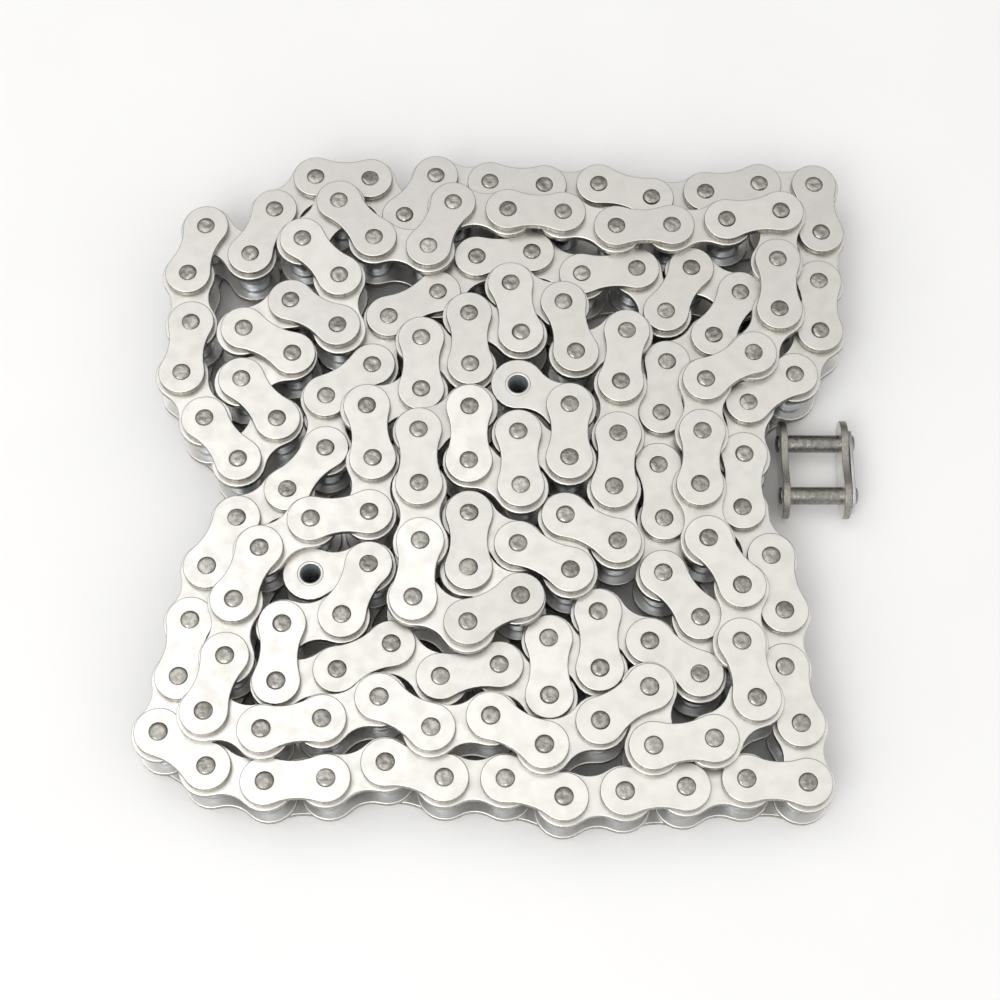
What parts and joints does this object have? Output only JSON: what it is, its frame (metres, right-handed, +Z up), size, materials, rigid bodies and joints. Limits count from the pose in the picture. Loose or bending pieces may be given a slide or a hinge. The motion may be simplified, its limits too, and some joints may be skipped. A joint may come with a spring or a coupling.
{
  "type": "roller chain",
  "caption": "Single-strand roller chain of 19.05 mm pitch, folded flat into a pack with both ends inside, and its loose connecting link with a spring clip.",
  "frame": {"origin": "on the floor, under the middle of the folded pack and its connecting link", "axes": "+Z up, along the chain pins; +Y away from the viewer, towards the far side of the pack; +X to the right, towards the connecting link"},
  "size_m": [0.236, 0.2388, 0.0345],
  "materials": {
    "plate_steel": "bright satin stainless steel",
    "pin_steel": "grey, dull stainless steel, riveted ends",
    "roller_steel": "ground shiny stainless steel",
    "clip_steel": "spring stainless steel"
  },
  "bodies": {
    "root": {"run_01": "plate_steel", "run_02": "plate_steel", "run_03": "plate_steel", "run_04": "plate_steel", "run_05": "plate_steel", "run_06": "plate_steel", "run_07": "plate_steel", "run_08": "plate_steel", "run_09": "plate_steel", "run_10": "plate_steel", "run_11": "plate_steel", "run_12": "plate_steel", "run_13": "plate_steel", "run_14": "plate_steel", "run_15": "plate_steel", "run_16": "plate_steel", "run_17": "plate_steel", "run_18": "plate_steel", "run_19": "plate_steel"},
    "first_end_outer_2": {"first_end_outer_2_plate_upper": "plate_steel", "first_end_outer_2_plate_lower": "plate_steel", "first_end_outer_2_pin_1": "pin_steel", "first_end_outer_2_pin_2": "pin_steel"},
    "first_end_inner_2": {"first_end_inner_2_plate_upper": "plate_steel", "first_end_inner_2_plate_lower": "plate_steel", "first_end_inner_2_bushing_1": "roller_steel", "first_end_inner_2_bushing_2": "roller_steel"},
    "first_end_outer_1": {"first_end_outer_1_plate_upper": "plate_steel", "first_end_outer_1_plate_lower": "plate_steel", "first_end_outer_1_pin_1": "pin_steel", "first_end_outer_1_pin_2": "pin_steel"},
    "first_end_inner_1": {"first_end_inner_1_plate_upper": "plate_steel", "first_end_inner_1_plate_lower": "plate_steel", "first_end_inner_1_bushing_1": "roller_steel", "first_end_inner_1_bushing_2": "roller_steel"},
    "first_end_inner_1_roller_1": {"first_end_inner_1_roller_1": "roller_steel"},
    "first_end_inner_1_roller_2": {"first_end_inner_1_roller_2": "roller_steel"},
    "first_end_inner_2_roller_1": {"first_end_inner_2_roller_1": "roller_steel"},
    "first_end_inner_2_roller_2": {"first_end_inner_2_roller_2": "roller_steel"},
    "last_end_inner_1": {"last_end_inner_1_plate_upper": "plate_steel", "last_end_inner_1_plate_lower": "plate_steel", "last_end_inner_1_bushing_1": "roller_steel", "last_end_inner_1_bushing_2": "roller_steel"},
    "last_end_outer": {"last_end_outer_plate_upper": "plate_steel", "last_end_outer_plate_lower": "plate_steel", "last_end_outer_pin_1": "pin_steel", "last_end_outer_pin_2": "pin_steel"},
    "last_end_inner_2": {"last_end_inner_2_plate_upper": "plate_steel", "last_end_inner_2_plate_lower": "plate_steel", "last_end_inner_2_bushing_1": "roller_steel", "last_end_inner_2_bushing_2": "roller_steel"},
    "last_end_inner_1_roller_1": {"last_end_inner_1_roller_1": "roller_steel"},
    "last_end_inner_1_roller_2": {"last_end_inner_1_roller_2": "roller_steel"},
    "last_end_inner_2_roller_1": {"last_end_inner_2_roller_1": "roller_steel"},
    "last_end_inner_2_roller_2": {"last_end_inner_2_roller_2": "roller_steel"},
    "connecting_link": {"link_pin_plate": "plate_steel", "link_cover_plate": "plate_steel", "link_pin_1": "pin_steel", "link_pin_2": "pin_steel"},
    "spring_clip": {"link_spring_clip": "clip_steel"}
  },
  "joints": [
    {"name": "first_end_hinge_4", "type": "hinge", "parent": "root", "child": "first_end_outer_2", "pos_m": [0.00485, -0.0098, 0.02039], "axis": [0, 0, 1], "range_deg": [0, 0.5]},
    {"name": "first_end_hinge_3", "type": "hinge", "parent": "first_end_outer_2", "child": "first_end_inner_2", "pos_m": [0.00411, 0.00923, 0.02039], "axis": [0, 0, 1], "range_deg": [-1, 0]},
    {"name": "first_end_hinge_2", "type": "hinge", "parent": "first_end_inner_2", "child": "first_end_outer_1", "pos_m": [0.02077, -0.00001, 0.02039], "axis": [0, 0, 1], "range_deg": [-4, 0.3]},
    {"name": "first_end_hinge_1", "type": "hinge", "parent": "first_end_outer_1", "child": "first_end_inner_1", "pos_m": [0.02111, 0.01904, 0.02039], "axis": [0, 0, 1], "range_deg": [-8, 0.5]},
    {"name": "first_end_inner_1_roller_1_spin", "type": "hinge", "parent": "first_end_inner_1", "child": "first_end_inner_1_roller_1", "pos_m": [0.00409, 0.0276, 0.02039], "axis": [0, 0, 1], "continuous": true},
    {"name": "first_end_inner_1_roller_2_spin", "type": "hinge", "parent": "first_end_inner_1", "child": "first_end_inner_1_roller_2", "pos_m": [0.02111, 0.01904, 0.02039], "axis": [0, 0, 1], "continuous": true},
    {"name": "first_end_inner_2_roller_1_spin", "type": "hinge", "parent": "first_end_inner_2", "child": "first_end_inner_2_roller_1", "pos_m": [0.02077, -0.00001, 0.02039], "axis": [0, 0, 1], "continuous": true},
    {"name": "first_end_inner_2_roller_2_spin", "type": "hinge", "parent": "first_end_inner_2", "child": "first_end_inner_2_roller_2", "pos_m": [0.00411, 0.00923, 0.02039], "axis": [0, 0, 1], "continuous": true},
    {"name": "last_end_hinge_1", "type": "hinge", "parent": "root", "child": "last_end_inner_1", "pos_m": [-0.07122, -0.05542, 0.01499], "axis": [0, 0, 1], "range_deg": [-0.5, 0.5]},
    {"name": "last_end_hinge_2", "type": "hinge", "parent": "last_end_inner_1", "child": "last_end_outer", "pos_m": [-0.05241, -0.05245, 0.01499], "axis": [0, 0, 1], "range_deg": [-1, 1.2]},
    {"name": "last_end_hinge_3", "type": "hinge", "parent": "last_end_outer", "child": "last_end_inner_2", "pos_m": [-0.04423, -0.03524, 0.01499], "axis": [0, 0, 1], "range_deg": [-0.5, 0.5]},
    {"name": "last_end_inner_1_roller_1_spin", "type": "hinge", "parent": "last_end_inner_1", "child": "last_end_inner_1_roller_1", "pos_m": [-0.07122, -0.05542, 0.01499], "axis": [0, 0, 1], "continuous": true},
    {"name": "last_end_inner_1_roller_2_spin", "type": "hinge", "parent": "last_end_inner_1", "child": "last_end_inner_1_roller_2", "pos_m": [-0.05241, -0.05245, 0.01499], "axis": [0, 0, 1], "continuous": true},
    {"name": "last_end_inner_2_roller_1_spin", "type": "hinge", "parent": "last_end_inner_2", "child": "last_end_inner_2_roller_1", "pos_m": [-0.04423, -0.03524, 0.01499], "axis": [0, 0, 1], "continuous": true},
    {"name": "last_end_inner_2_roller_2_spin", "type": "hinge", "parent": "last_end_inner_2", "child": "last_end_inner_2_roller_2", "pos_m": [-0.06313, -0.03762, 0.01499], "axis": [0, 0, 1], "continuous": true},
    {"name": "connecting_link_lift", "type": "slide", "parent": "root", "child": "connecting_link", "axis": [0, 0, 1], "range_m": [0, 0.06]},
    {"name": "spring_clip_slide", "type": "slide", "parent": "connecting_link", "child": "spring_clip", "axis": [0, -1, 0], "range_m": [0, 0.028]}
  ]
}
